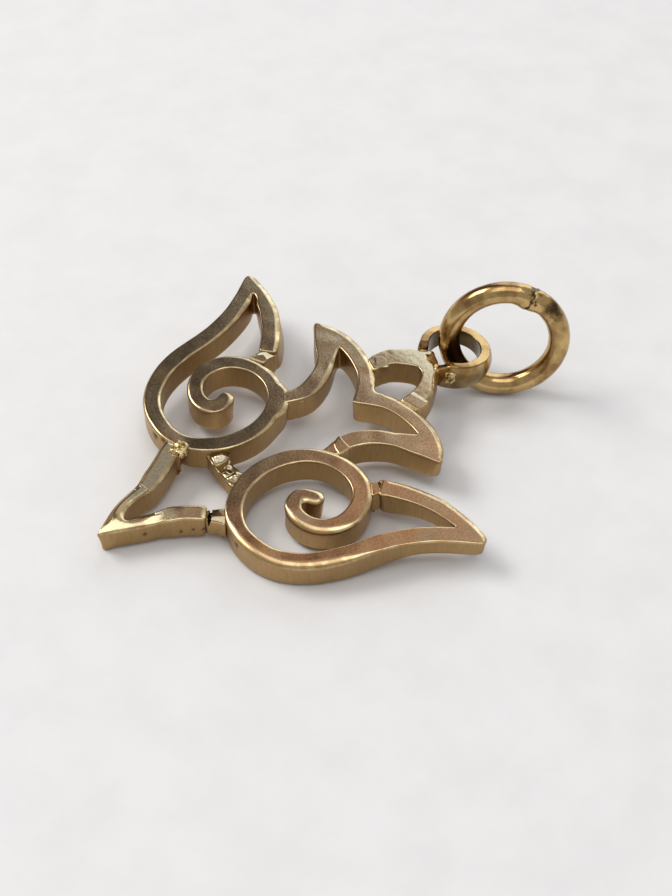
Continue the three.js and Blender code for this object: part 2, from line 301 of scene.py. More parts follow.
# even grid of places inside an outline, clear of its edge
def innerSpots(ring, spacing):
    clear = 0.6 * spacing
    (left, low), (right, high) = ring.min(0), ring.max(0)
    x, y = (g.ravel() for g in numpy.meshgrid(
        numpy.arange(left, right, spacing), numpy.arange(low, high, spacing)))
    after = numpy.roll(ring, -1, 0)
    inside = numpy.zeros(len(x), bool)
    for (ax, ay), (bx, by) in zip(ring, after):
        if ay != by:
            inside ^= ((ay > y) != (by > y)) & (x < (bx - ax) * (y - ay) / (by - ay) + ax)
    edge = kdtree.KDTree(len(ring))
    for i, (px, py) in enumerate(ring):
        edge.insert((px, py, 0), i)
    edge.balance()
    return [Vector((a, b)) for a, b, use in zip(x, y, inside) if use and edge.find((a, b, 0))[2] > clear]


# cap over a closed row of points, as triangles, with places inside it at the height the given rule says
def capFaces(points, start, count, upward, height, spacing=None):
    row = points[start:start + count]
    ring = numpy.array([p[:2] for p in row])
    inner = innerSpots(ring, spacing) if spacing else []
    inside, sameSpot = 1, 1e-6
    spots, _, faces, origins, _, _ = geometry.delaunay_2d_cdt(
        [Vector(p) for p in ring] + inner, [], [list(range(count))], inside, sameSpot)
    places = []
    for spot, origin in zip(spots, origins):
        if origin and origin[0] < count:
            places.append(start + origin[0])
        else:
            places.append(len(points))
            points.append((spot.x, spot.y, height(spot.x, spot.y)))
    return [tuple(places[i] for i in (face if upward else reversed(face))) for face in faces]


def tubeFaces(rows, count):
    faces = []
    for r in range(rows - 1):
        low, high = r * count, (r + 1) * count
        for i in range(count):
            j = (i + 1) % count
            faces.append((low + i, low + j, high + j, high + i))
    return faces


def closedTube(rows, count):
    ends = [tuple(reversed(range(count))), tuple(range((rows - 1) * count, rows * count))]
    return tubeFaces(rows, count) + ends


def meshFrom(name, points, faces, material, marks={}, crisp=()):
    mesh = bpy.data.meshes.new(name)
    mesh.from_pydata([lay @ Vector(p) for p in points], [], faces)
    mesh.materials.append(material)
    shading = numpy.ones(len(mesh.polygons), bool)
    shading[list(crisp)] = False
    mesh.polygons.foreach_set("use_smooth", shading)
    for mark, values in marks.items():
        mesh.attributes.new(mark, "FLOAT", "POINT").data.foreach_set("value", numpy.array(values, float))
    mesh.update()
    return mesh


def addPiece(name, mesh, body, slotName, *nodes):
    piece = bpy.data.objects.new(name, mesh)
    scene.collection.objects.link(piece)
    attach(piece, body)
    if nodes:
        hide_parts(*nodes)


# settings of all strips: ways are flat directions that the edge faces, limits are from none to full
stripWork = {
    "spacing": 0.065, "corner": 42, "soften": 3, "capSpacing": 0.14, "hammer": 0.02, "hammerSize": 0.8,
    "edgeRound": 0.07, "uneven": 0.4, "unevenSize": 0.9, "mostRoll": 0.32, "jointLoss": 0.85,
    "rubbed": 0.14, "rubbedWay": (0.985, -0.17), "rubbedLimits": (0.15, 0.85), "rubbedDrop": 0.25,
    "rubbedEven": 0.6, "hollowSteps": 8, "hollowLimits": (-0.03, 0.01), "hollowRub": 0.3,
    # shine: how much pale edge colour an edge gets, a painted highlight, full toward the bright window
    "shineWay": (0.75, -0.66), "shineLimits": (-0.3, 0.5), "shineLeast": 0.15,
    "rollMarks": [(0.1, 0), (0.6, 0), (1, 0.1), (1, 0.3), (0.8, 0.6), (0.3, 0.9)],  # edge and face, going up
    "flush": 0.05, "flushRoom": 0.1, "pitDepth": 0.6,
    "spotCore": 0.4, "spotLimits": (0.2, 0.75), "bluntCore": 0.5, "tiltCore": 0.5, "brightCore": 0.3,
    "backRound": 0.2, "backRows": 5, "backRoom": 0.3, "backInset": 1.25, "footSoften": 22, "footFade": 1.5,
    "wallRows": 8, "waver": 0.03, "waverSize": 1.1,
}


# 1 in the core of a place, falling to 0 at its reach
def nearTo(spots, place, reach, core):
    away = numpy.linalg.norm(spots[:, :len(place)] - place, axis=1)
    return 1 - smooth(away, core * reach, reach)


# how strongly a spot of work counts at each point: near its place, and where the edge faces its way
def spotWeight(path, inward, spot):
    near = nearTo(path, spot["place"], spot["reach"], stripWork["spotCore"])
    return near * smooth(-(inward * spot["toward"]).sum(1), *spot.get("facing", stripWork["spotLimits"]))


# height of a strip's face and its outline, with corners drawn out, sharp tips cut and ends blunted
def stripOutline(node, s):
    top, loop = outlineOf(node)
    for x, y, newX, newY in s.get("corners", ()):  # corners drawn out into the next piece
        near = min(loop, key=lambda p: (p.xy - Vector((x, y))).length)
        near.xy = newX, newY
    for x, y, *cut in s.get("cuts", ()):  # a sharp tip cut off by two corners
        i = min(range(len(loop)), key=lambda i: (loop[i].xy - Vector((x, y))).length)
        loop[i:i + 1] = [Vector((a, b, loop[i].z)) for a, b in (cut[:2], cut[2:])]
    path = relaxed(smoothLoop(loop, s["spacing"], s["corner"]), s["soften"])
    for x, y, reach, times in s.get("blunts", ()):
        near = nearTo(path, (x, y), reach, s["bluntCore"])
        path = path + (relaxed(path, times) - path) * near[:, None]
    return top - s.get("lower", 0), path


# work on the edge at each point: width, depth and evenness of its roll, push of foot and head, and share of
# the pale edge colour, a painted highlight
def edgeWork(path, inward, across, s):
    drops = s["edgeRound"] * (1 + s["uneven"] * wobble(path, s["unevenSize"]))
    beside = (numpy.roll(path, -s["hollowSteps"], 0) + numpy.roll(path, s["hollowSteps"], 0)) / 2
    bend = ((beside - path)[:, :2] * inward).sum(1)
    # flatter where the face was rubbed over, and less so in hollows
    rubbed = smooth(-(inward * s["rubbedWay"]).sum(1), *s["rubbedLimits"])
    rubbed = rubbed * (s["hollowRub"] + (1 - s["hollowRub"]) * smooth(bend, *s["hollowLimits"]))
    rolls = drops + s["rubbed"] * rubbed
    drops = drops + s["rubbedDrop"] * s["rubbed"] * rubbed
    even = s["rubbedEven"] * rubbed
    most = s["mostRoll"] * numpy.ones(len(path))
    for chamfer in s.get("chamfers", ()):
        weight = spotWeight(path, inward, chamfer)
        even = numpy.maximum(even, weight * chamfer.get("even", 0))
        rolls = rolls + chamfer["width"] * weight
        drops = drops + chamfer["drop"] * weight
        most = most + chamfer.get("extra", 0) * weight
    pushed = numpy.zeros((2, len(path)))
    # painted highlight: edges facing the bright window get the pale edge colour in full, the others little
    facing = smooth(-(inward * s["shineWay"]).sum(1), *s["shineLimits"])
    shine = s["shineLeast"] + (1 - s["shineLeast"]) * facing
    for grow in s.get("grows", ()):
        weight = spotWeight(path, inward, grow)
        pushed += numpy.outer((grow["foot"], grow["head"]), weight)
        if grow.get("joint"):
            rolls = rolls * (1 - s["jointLoss"] * weight)
            drops = drops * (1 - s["jointLoss"] * weight)
            shine = shine * (1 - weight)
    return numpy.minimum(rolls, most * across), drops, even, pushed, shine


# strip work: a plate with rolled edges, a rounded back, slightly wavering walls, filed places and a few pits
def stripMesh(name, node, s, material):
    top, path = stripOutline(node, s)
    inward = inwards(path)
    across = roomAcross(path, inward)
    rolls, drops, even, pushed, shine = edgeWork(path, inward, across, s)
    count = len(path)
    backs = path[:, 2]

    def topHeight(x, y):
        z = top - s["hammer"] * (0.5 + 0.5 * noise.noise(Vector((x, y, 0)) / s["hammerSize"]))
        for tilted in s.get("tilts", ()):
            away = Vector((x, y)) - Vector(tilted["place"])
            near = 1 - smooth(away.length, s["tiltCore"] * tilted["reach"], tilted["reach"])
            z += near * min(0, away.dot(Vector(tilted["slope"])))
        return z

    def levelAt(inset):
        return numpy.array([topHeight(x, y) for x, y in path[:, :2] + inward * (inset - pushed[1])[:, None]])

    tops = levelAt(0 * rolls)
    rows, edges, sides = [], [], []

    def addRow(inset, z, times, edge, face):
        part = numpy.clip((z - backs) / (top - backs), 0, 1)
        inset = inset - pushed[0] * (1 - part) - pushed[1] * part
        rows.append(relaxed(numpy.column_stack((path[:, :2] + inward * inset[:, None], z)), times))
        edges.extend(edge * shine)
        sides.extend([face] * count)

    back, foot = s["backRound"], s["footSoften"]
    slims = numpy.minimum(back, s["backRoom"] * across)
    addRow(slims * s["backInset"], backs, foot, 0, 0)
    for k in range(s["backRows"]):
        turn = k / (s["backRows"] - 1) * math.pi / 2
        addRow(slims * (1 - math.sin(turn)), backs + back * (1 - math.cos(turn)), foot, 0, 0)
    for k in range(1, s["wallRows"] + 1):
        part = k / (s["wallRows"] + 1)
        z = backs + back + (tops - drops - backs - back) * part
        waver = s["waver"] * (0.5 + 0.5 * wobble(numpy.column_stack((path[:, :2], z)), s["waverSize"]))
        addRow(waver * math.sin(math.pi * part), z, round(foot * (1 - part) ** s["footFade"]), 0, 0)
    for k, (edge, face) in enumerate(s["rollMarks"]):
        part = k / (len(s["rollMarks"]) - 1)
        turn = part * math.pi / 2
        inset = (1 - even) * (1 - math.cos(turn)) + even * part
        drop = (1 - even) * (1 - math.sin(turn)) + even * (1 - part)
        addRow(rolls * inset, levelAt(rolls * inset) - drops * drop, 1 if k > 1 else 0, edge, face)
    flush = rolls + numpy.minimum(s["flush"], s["flushRoom"] * across)
    addRow(flush, levelAt(flush), 1, 0, 1)
    points = [tuple(p) for row in rows for p in row]
    wallCount = len(points)
    faces = tubeFaces(len(rows), count)
    faces += capFaces(points, 0, count, False, lambda x, y: backs.min())
    backCount = len(points)
    faces += capFaces(points, wallCount - count, count, True, topHeight, s["capSpacing"])
    edges += [0.0] * (len(points) - wallCount)
    sides += [0.0] * (backCount - wallCount) + [1.0] * (len(points) - backCount)
    pits = numpy.zeros(len(points))
    spots = numpy.array(points)
    for x, y, reach, strength in s.get("paintedHighlights", ()):  # painted highlight on the tail tip, in the pale edge colour
        near = nearTo(spots, (x, y), reach, s["brightCore"])
        edges = numpy.maximum(edges, strength * near * sides)
    for x, y, z, size in s.get("pits", ()):
        depth = nearTo(spots, (x, y, z), size, 0)
        depth[wallCount:] = 0
        push = numpy.zeros_like(spots)
        push[:wallCount, :2] = numpy.tile(inward, (len(rows), 1))
        spots = spots + push * depth[:, None] * size * s["pitDepth"]
        pits = numpy.maximum(pits, depth ** 0.5)
    return meshFrom(name, spots, faces, material, {"edge": edges, "face": sides, "pit": pits})


strip = newMaterial("rubbed cast brass strip", rubbedBrass, brassStrip)
leftWing = {
    "soften": 4, "pits": [(-9.65, 3.64, 0.98, 0.26), (-9.57, 3.03, 1.22, 0.22)],
    "corners": [(-0.7, 7.88, -0.75, 7.95), (-0.75, 7.65, -0.79, 7.65),
                (-0.81, 7.4, -0.85, 7.4), (-0.88, 7.16, -0.91, 7.15), (-1.46, 8.23, -1.34, 8.42),
                (-1.54, 8.06, -1.36, 8.14), (-1.58, 7.84, -1.47, 7.84)],
    "cuts": [(-0.87, 9.54, -0.7, 9.34, -1.0, 9.57)],
    "blunts": [(-0.85, 9.45, 0.8, 10), (-1.38, 8.25, 0.45, 8)],
    "chamfers": [{"place": (-9.3, 3.9), "toward": (-0.95, 0.2), "reach": 4.5, "width": 0.06, "drop": 0.05}],
    "tilts": [{"place": (-9.9, 4.4), "slope": (-0.04, 0.0), "reach": 3.6},
              {"place": (-7.4, 0.9), "slope": (0.0, -0.025), "reach": 3.2}],
    "grows": [{"place": (-1.9, 6.0), "toward": (0.98, 0.2), "reach": 2.6, "foot": 0.26, "head": 0.04},
              {"place": (-3.8, 1.85), "toward": (0.8, -0.6), "reach": 1.2, "foot": 0.16, "head": 0.25}],
}
rightWing = {
    "soften": 4, "pits": [(-9.76, -3.46, 1.05, 0.2)],
    "corners": [(-0.7, -7.86, -0.75, -7.95), (-0.75, -7.62, -0.81, -7.65),
                (-0.81, -7.37, -0.86, -7.4), (-0.88, -7.13, -0.92, -7.15)],
    "cuts": [(-0.87, -9.5, -1.0, -9.56, -0.68, -9.38)],
    "blunts": [(-0.85, -9.45, 0.8, 8)],
    "chamfers": [{"place": (-8.9, -5.2), "toward": (-0.75, -0.65), "reach": 5.0, "width": 0.36, "drop": 0.16,
                  "extra": 0.12}],
    "tilts": [{"place": (-7.0, -6.7), "slope": (0.0, -0.028), "reach": 3.2}],
    "grows": [{"place": (-3.9, -3.9), "toward": (-0.82, 0.57), "reach": 3.0, "foot": 0.1, "head": 0.14,
               "facing": (-0.3, 1.1)}],
}
feathers = {
    "edgeRound": 0.075, "footSoften": 34,
    "corners": [(-2.65, -1.25, -4.05, -1.52), (-2.85, -2.08, -3.6, -2.12), (-2.65, 1.36, -4.1, 1.76),
                (-2.85, 2.19, -3.65, 2.26)],
    "blunts": [(0.08, 4.95, 0.5, 10), (0.08, -4.95, 0.4, 6), (-2.8, -1.26, 1.1, 40)],
    "grows": [{"place": (-0.15, 4.7), "toward": (-0.86, 0.5), "reach": 2.0, "foot": 0.2, "head": 0.2,
               "facing": (-0.2, 0.7)},
              {"place": (-0.15, -4.7), "toward": (-0.86, -0.5), "reach": 2.0, "foot": 0.26, "head": 0.12,
               "facing": (-0.2, 0.7)}],
}
tailLean = {"place": (-13.4, 0.3), "slope": (0.07, 0.25), "reach": 2.8}  # worn down to the near side
tail = {
    "backRound": 0.26, "footSoften": 26, "capSpacing": 0.07,
    "pits": [(-12.64, -0.62, 0.66, 0.13)], "paintedHighlights": [(-13.2, -0.2, 2.4, 0.9)],
    "chamfers": [
        {"place": (-13.0, 1.0), "toward": (-0.45, 0.9), "reach": 3.2, "width": 0.26, "drop": 0.06, "even": 1},
        {"place": (-13.0, 0.45), "toward": (0.3, -0.95), "reach": 1.8, "width": 0.1, "drop": 0.03}],
    "tilts": [tailLean, {"place": (-12.3, 1.15), "slope": (-0.05, 0.16), "reach": 1.6}],
    "grows": [{"place": (-14.5, 0.05), "toward": (-1, 0), "reach": 0.8, "foot": 0.08, "head": 0.04},
              {"place": (-11.6, -0.67), "toward": (0.95, -0.32), "reach": 0.8, "foot": 0.1, "head": 0.02,
               "joint": True},
              {"place": (-11.6, 1.13), "toward": (0.95, 0.3), "reach": 0.8, "foot": 0.1, "head": 0.02,
               "joint": True}],
}
leftTailBar = {
    "lower": 0.012,
    "corners": [(-11.65, 1.51, -12.1, 1.27), (-11.4, 0.8, -11.95, 0.74), (-9.84, 1.64, -9.05, 2.2),
                (-10.27, 2.25, -9.45, 2.8)],
    "chamfers": [{"place": (-10.9, 1.9), "toward": (-0.6, 0.8), "reach": 1.6, "width": 0.16, "drop": 0.07}],
    "tilts": [{"place": (-10.95, 1.93), "slope": (-0.08, 0.16), "reach": 2.6}],
    "grows": [{"place": (-10.6, 2.1), "toward": (-0.5, 0.87), "reach": 1.5, "foot": 0.06, "head": 0.14}],
}
rightTailBar = {
    "lower": 0.012, "corners": [(-11.65, -1.04, -12.1, -0.78), (-11.4, -0.35, -11.95, -0.27)],
    "tilts": [tailLean, {"place": (-10.8, -0.8), "slope": (0, 0.06), "reach": 2.5}],
    "pits": [(-11.2, -1.22, 0.5, 0.12), (-10.75, -1.5, 0.6, 0.1), (-10.35, -1.76, 0.6, 0.14)],
}
bridge = {
    "edgeRound": 0.1, "waver": 0.08, "waverSize": 0.4, "hammer": 0.3, "hammerSize": 0.42,
    "rubbed": 0.0, "capSpacing": 0.07,
    "tilts": [{"place": (-7.95, 0.1), "slope": (-0.1, -0.36), "reach": 0.9}],
    "corners": [(-8.34, -0.23, -8.3, -1.1), (-7.56, -0.25, -7.55, -0.75), (-7.56, 0.55, -7.5, 1.1),
                (-8.34, 0.57, -8.36, 1.5)],
}
head = {
    "waver": 0.05, "hammer": 0.008, "hammerSize": 0.22, "capSpacing": 0.06,
    "tilts": [{"place": (x, 0.3), "slope": (-0.024, 0.0), "reach": 2.6} for x in (2.1, 2.5, 2.9)],
    "corners": [(1.45, -0.96, 0.62, -1.08), (1.72, -1.9, 0.85, -2.05), (1.5, 1.65, 0.8, 1.76),
                (1.48, 0.86, 0.65, 1.05)],
    "chamfers": [{"place": (3.4, -0.2), "toward": (0.834, -0.55), "reach": 1.5, "width": 0.36, "drop": 0.07,
                  "even": 1}],
    "grows": [{"place": (3.3, -0.3), "toward": (0.834, -0.55), "reach": 0.9, "foot": 0.1, "head": 0.1},
              {"place": (1.6, 1.7), "toward": (0.0, 1.0), "reach": 0.9, "foot": 0.09, "head": 0.11}],
}
stripPieces = {
    "leftWing": ("left_wing", leftWing), "rightWing": ("right_wing", rightWing),
    "bodyFeathers": ("body_feathers", feathers), "tailChevron": ("tail_chevron", tail),
    "leftTailBar": ("left_tail_bar", leftTailBar), "rightTailBar": ("right_tail_bar", rightTailBar),
    "crossBridge": ("cross_bridge", bridge), "headArch": ("head_arch", head),
}
for name, (node, settings) in stripPieces.items():
    addPiece(name, stripMesh(name, node, {**stripWork, **settings}, strip), "charm", "brass_strip", node)
print("strips made:", len(stripPieces))


def geometryTree(name, sockets):
    tree = bpy.data.node_groups.new(name, "GeometryNodeTree")
    tree.interface.new_socket("Geometry", in_out="INPUT", socket_type="NodeSocketGeometry")
    for label, kind in sockets.items():
        tree.interface.new_socket(label, in_out="INPUT", socket_type="NodeSocket" + kind)
    tree.interface.new_socket("Geometry", in_out="OUTPUT", socket_type="NodeSocketGeometry")
    return tree, addNode(tree, "NodeGroupInput").outputs


# runs a tree on a mesh with the named inputs, and gives the result as a plain mesh
def treeMesh(name, mesh, tree, values):
    carrier = bpy.data.objects.new(name, mesh)
    scene.collection.objects.link(carrier)
    modifier = carrier.modifiers.new(name, "NODES")
    modifier.node_group = tree
    for item in tree.interface.items_tree:
        if item.in_out == "INPUT" and item.name in values:
            modifier[item.identifier] = values[item.name]
    made = bpy.data.meshes.new_from_object(carrier.evaluated_get(bpy.context.evaluated_depsgraph_get()))
    carrier.modifiers.remove(modifier)
    bpy.data.objects.remove(carrier)
    made.name = name
    return made


# jump ring: a drawn wire bent round an arc from seam to seam, with a burnt place beside the seam
jumpRing = {
    "diameter": 6.25, "wire": 1.05, "rise": 1.2, "yaw": -37, "lean": -14, "seam": 68, "opening": 1.5,
    "uneven": 0.03, "wave": 0.45, "thinnest": 0.955, "sides": 40, "steps": 220,
    "burnTurn": 44, "burnOut": 0.2, "burnAside": -0.35,
}
ringRadius = (jumpRing["diameter"] - jumpRing["wire"]) / 2
ringReach = math.sqrt(ringRadius ** 2 - jumpRing["rise"] ** 2)
ringTurn = Matrix.Rotation(math.radians(jumpRing["yaw"]), 4, "Z") @ Matrix.Rotation(
    math.radians(jumpRing["lean"]), 4, "X")
ringPlace = Matrix.Translation(eye) @ ringTurn @ Matrix.Translation((ringReach, 0, jumpRing["rise"]))
ringUpright = Matrix.Rotation(math.radians(90), 4, "X")  # the arc is drawn lying in x and y


def ringSpot(turn, radius, aside):
    return ringPlace @ Vector((radius * math.cos(turn), aside, radius * math.sin(turn)))


seamTurn = math.radians(jumpRing["seam"])
burnPlace = lay @ ringSpot(
    math.radians(jumpRing["burnTurn"]), ringRadius + jumpRing["burnOut"], jumpRing["burnAside"])
wireBrass, burntBrass = (newMaterial(name, tumbledBrass, polishedBrass, burnPlace)
                         for name in ("tumbled brass wire", "burnt brass solder, dressed flush"))


def wireTree(s):
    tree, given = geometryTree("bentWire", {
        "Ring Radius": "Float", "Wire Radius": "Float", "Start": "Float", "Sweep": "Float", "Uneven": "Float",
        "Wave": "Float", "Material": "Material"})
    arc = addNode(tree, "GeometryNodeCurveArc", {
        "Resolution": s["steps"], "Radius": given["Ring Radius"], "Start Angle": given["Start"],
        "Sweep Angle": given["Sweep"]})
    place = addNode(tree, "GeometryNodeInputPosition")
    wave = addNode(tree, "ShaderNodeTexNoise", {"Vector": place, "Scale": given["Wave"], "Detail": 1})
    thick = addNode(tree, "ShaderNodeMath", {
        0: wave, 1: given["Uneven"], 2: s["thinnest"]}, operation="MULTIPLY_ADD")
    outline = addNode(tree, "GeometryNodeCurvePrimitiveCircle", {
        "Resolution": s["sides"], "Radius": given["Wire Radius"]})
    wire = addNode(tree, "GeometryNodeCurveToMesh", {
        "Curve": arc, "Profile Curve": outline, "Scale": thick, "Fill Caps": True})
    whole = addNode(tree, "GeometryNodeRealizeInstances", {"Geometry": wire})
    rounded = addNode(tree, "GeometryNodeSetShadeSmooth", {"Geometry": whole})
    finished = addNode(tree, "GeometryNodeSetMaterial", {
        "Geometry": rounded, "Material": given["Material"]})
    addNode(tree, "NodeGroupOutput", {"Geometry": finished})
    return tree


opening = jumpRing["opening"] / ringRadius
ringMesh = treeMesh("jumpRing", bpy.data.meshes.new("jumpRing"), wireTree(jumpRing), {
    "Ring Radius": ringRadius, "Wire Radius": jumpRing["wire"] / 2, "Start": seamTurn + opening / 2,
    "Sweep": 2 * math.pi - opening, "Uneven": jumpRing["uneven"], "Wave": jumpRing["wave"],
    "Material": wireBrass})
ringMesh.transform(lay @ ringPlace @ ringUpright)
addPiece("jumpRing", ringMesh, "ring", "polished_brass", "jump_ring")
print("jump ring made:", len(ringMesh.polygons), "faces")

# seam of the ring: solder flush with the wire, filled in on the inner side, with a burnt crack across it
seam = {
    "half": 0.95, "fit": 0.968, "inner": 0.17, "innerCurve": 1.5, "rough": 0.015, "roughSize": 0.2,
    "rows": 60, "sides": 48, "ragged": [(0.3, 0.3), (0.25, 0.12)],  # strength and size of the crack's waver
    "crack": (0.044, 0.242), "crackDepth": 0.04, "blackening": 0.9,
}


def seamMesh(s):
    points, burns = [], []
    for r in range(s["rows"] + 1):
        along = 2 * r / s["rows"] - 1
        turn = seamTurn + along * s["half"] / ringRadius
        fill = (0.5 + 0.5 * math.cos(math.pi * along)) * s["inner"]
        for k in range(s["sides"]):
            side = -2 * math.pi * k / s["sides"]
            inner = max(0, -math.cos(side)) ** s["innerCurve"]
            girth = jumpRing["wire"] / 2 * s["fit"] + fill * inner
            spot = ringSpot(turn, ringRadius + girth * math.cos(side), girth * math.sin(side))
            ragged = along + sum(strength * noise.noise(spot / size) for strength, size in s["ragged"])
            crack = 1 - smooth(abs(ragged), *s["crack"])
            skin = s["rough"] * (1 - along ** 4) * noise.noise(spot / s["roughSize"])
            girth += skin - s["crackDepth"] * crack
            points.append(ringSpot(turn, ringRadius + girth * math.cos(side), girth * math.sin(side)))
            burns.append(crack * s["blackening"])
    faces = closedTube(s["rows"] + 1, s["sides"])
    return meshFrom("jumpRingSeam", points, faces, burntBrass, {"burn": burns})


addPiece("jumpRingSeam", seamMesh(seam), "ring", "scorched_solder", "jump_ring_seam")
print("ring's seam made")

# bail: an open band with a barrel-shaped wall and a round top, higher on the near side; its inner wall
# painted near black as shade, and its outer wall painted darker below the top as shade
bail = {
    "eye": 1.24, "wall": 0.5, "bottom": 0.3, "height": 1.31, "ends": (191, 499), "steps": 120,
    "topRound": 0.07, "footRound": 0.12, "cornerSteps": 8, "wallSteps": 6, "rough": 0.01, "roughSize": 0.5,
    "barrel": 0.12, "barrelFrom": 0.3, "slope": (-0.15, -0.06), "slopeLevels": (0.3, 0.9),
    "taper": 0.32, "taperTurn": (196, 228), "thick": 0.1, "thickTurn": -25, "thickFrom": 0.1,
    "blackening": 0.8, "innerShadeSkin": 0.03, "wallShade": 0.4, "wallShadeLevels": (0.95, 1.2),
}


def bailMesh(s):
    corners = ((1, 0, s["footRound"], -90), (1, 1, s["topRound"], 0),
               (0, 1, s["topRound"], 90), (0, 0, s["footRound"], 180))
    profile = []
    for out, up, size, start in corners:
        x = s["wall"] - size if out else size
        y = s["height"] - size if up else size
        for k in range(s["cornerSteps"] + 1):
            turn = math.radians(start + 90 / s["cornerSteps"] * k)
            profile.append((x + size * math.cos(turn), y + size * math.sin(turn)))
        if out and not up:  # the outer wall, between its corners
            low, high = size, s["height"] - s["topRound"]
            steps = s["wallSteps"]
            profile.extend((s["wall"], low + (high - low) * k / steps) for k in range(1, steps))
    points, darkenings = [], []
    start, end = (math.radians(a) for a in s["ends"])
    for r in range(s["steps"] + 1):
        turn = start + (end - start) * r / s["steps"]
        way = Vector((math.cos(turn), math.sin(turn), 0))
        thick = s["thick"] * max(0, math.cos(turn - math.radians(s["thickTurn"])))
        taper = 1 - s["taper"] * (1 - smooth(math.degrees(turn), *s["taperTurn"]))
        for out, up in profile:
            belly = s["barrel"] * (math.sin(math.pi * up / s["height"]) - 1) if out > s["barrelFrom"] else 0
            reach = s["eye"] + out + belly + thick * smooth(out, s["thickFrom"], s["wall"])
            x, y = reach * way.x, reach * way.y
            grow = 1 + (s["slope"][0] * x + s["slope"][1] * y) * smooth(up, *s["slopeLevels"])
            p = Vector((eye.x + x, eye.y + y, s["bottom"] + up * grow * taper))
            points.append(p + way * s["rough"] * noise.noise(p / s["roughSize"]))
            # painted shade: the inner wall near black, the outer wall darker below its bright top
            fade = 1 - smooth(up, *s["wallShadeLevels"])
            darkenings.append(s["blackening"] if out < s["innerShadeSkin"] else s["wallShade"] * fade)
    faces = closedTube(s["steps"] + 1, len(profile))
    return meshFrom("bailBand", points, faces, wireBrass, {"burn": darkenings})


addPiece("bailBand", bailMesh(bail), "charm", "polished_brass", "bail_band")
print("bail made")

# filed solder: a neck that carries a strip's end into the wall beside it, dressed level with a few facets
neck = {
    "spacing": 0.06, "corner": 55, "soften": 2, "capSpacing": 0.05, "embed": 0.12, "tuck": 0.06, "sink": 0.12,
    "narrow": 0.0, "flare": (0.1, 0.1), "flareCurve": 2.5, "bulge": (0, 0), "skin": 0.006, "flankSteps": 6,
    "crest": 1.512, "rise": 0.02, "facets": [(100, 0.08)],  # a facet is its way down and its fall
    # inset and height of each level, over the foot or from the crest, and the painted highlight at the rim
    "footLevels": [(0.2, 0), (0.1, 0.04), (0.03, 0.12), (0, 0.22)],
    "rimLevels": [(0, -0.07, 0.2), (0.008, -0.03, 0.9), (0.03, -0.006, 1), (0.06, 0, 0.4)],
    # rim and shine: the pale edge colour on a neck's rim and face, as a painted highlight
    "rim": 0.8, "shine": 0.5, "dark": 0,
    # a slot is a notch in the face, with painted shade in it
    "slotDepth": 0, "slotWidth": 0.07, "slotCore": 0.4, "slotPlace": 0.05, "slotUnder": 0.1, "slotShade": 0.9,
}


def neckMesh(name, node, s):
    _, loop = outlineOf(node)
    count = len(loop)
    first = max(range(count), key=lambda i: (loop[(i + 1) % count] - loop[i]).length)
    ends = [loop[(first + i) % count].xy for i in range(2)]
    wall = [loop[(first + 2 + i) % count].xy for i in range(count - 2)]
    onward = ((wall[0] + wall[-1]) / 2 - (ends[0] + ends[1]) / 2).normalized()
    aside = (ends[1] - ends[0]).normalized()
    ends = [ends[0] + aside * s["narrow"], ends[1] - aside * s["narrow"]]

    # one side of the neck, from inside the strip into the wall
    def flank(end, far, outward, flare, bulge):
        spots = [end - onward * s["embed"] - outward * s["tuck"]]
        for k in range(s["flankSteps"] + 1):
            t = k / s["flankSteps"]
            swell = flare * t ** s["flareCurve"] + bulge * 4 * t * (1 - t) + s["skin"]
            spots.append(end.lerp(far, t) + outward * swell)
        return spots + [far + outward * flare + onward * s["sink"]]

    outline = flank(ends[1], wall[0], aside, s["flare"][1], s["bulge"][1])
    outline += reversed(flank(ends[0], wall[-1], -aside, s["flare"][0], s["bulge"][0]))
    bottom = loop[0].z
    outline = [Vector((p.x, p.y, bottom)) for p in outline]
    path = relaxed(smoothLoop(outline, s["spacing"], s["corner"]), s["soften"])
    inward = inwards(path)
    middle = Vector(path[:, :2].mean(0))
    slopes = [Matrix.Rotation(math.radians(way), 2) @ Vector((-fall, 0)) for way, fall in s["facets"]]

    def inSlot(x, y):
        along = (Vector((x, y)) - (ends[0] + ends[1]) / 2).dot(onward)
        return 1 - smooth(abs(along - s["slotPlace"]), s["slotCore"] * s["slotWidth"], s["slotWidth"])

    def crest(x, y):
        away = Vector((x, y)) - middle
        z = s["crest"] + min(0, s["rise"] + min(away.dot(g) for g in slopes))
        return z - s["slotDepth"] * inSlot(x, y)

    tops = numpy.array([crest(x, y) for x, y, _ in path])
    foot = path[:, 2]
    levels = [(inset, foot + up, 0) for inset, up in s["footLevels"]]
    levels.append((0, (foot + tops) / 2, 0))
    levels += [(inset, tops + up, edge) for inset, up, edge in s["rimLevels"]]
    points, edges = [], []
    for inset, z, edge in levels:
        points += [tuple(p) for p in numpy.column_stack((path[:, :2] + inward * inset, z))]
        edges += [edge * s["rim"]] * len(path)
    wallCount = len(points)
    faces = tubeFaces(len(levels), len(path))
    faces += capFaces(points, 0, len(path), False, lambda x, y: bottom)
    sideFaces = len(faces)
    faces += capFaces(points, wallCount - len(path), len(path), True, crest, s["capSpacing"])
    edges += [s["shine"]] * (len(points) - wallCount)
    sides = [0.0] * (wallCount - len(path)) + [1.0] * (len(points) - wallCount + len(path))
    # painted shade in the slot, and the face darker by the dark setting, both in the pit colour
    slotShadeFrom = s["crest"] - s["slotDepth"] - s["slotUnder"]
    darkenings = []
    for (x, y, z), side in zip(points, sides):
        black = s["slotShade"] * inSlot(x, y) if s["slotDepth"] and z > slotShadeFrom else 0
        darkenings.append(max(black, s["dark"] * side))
    return meshFrom(name, points, faces, strip, {"edge": edges, "face": sides, "pit": darkenings},
                    range(sideFaces, len(faces)))


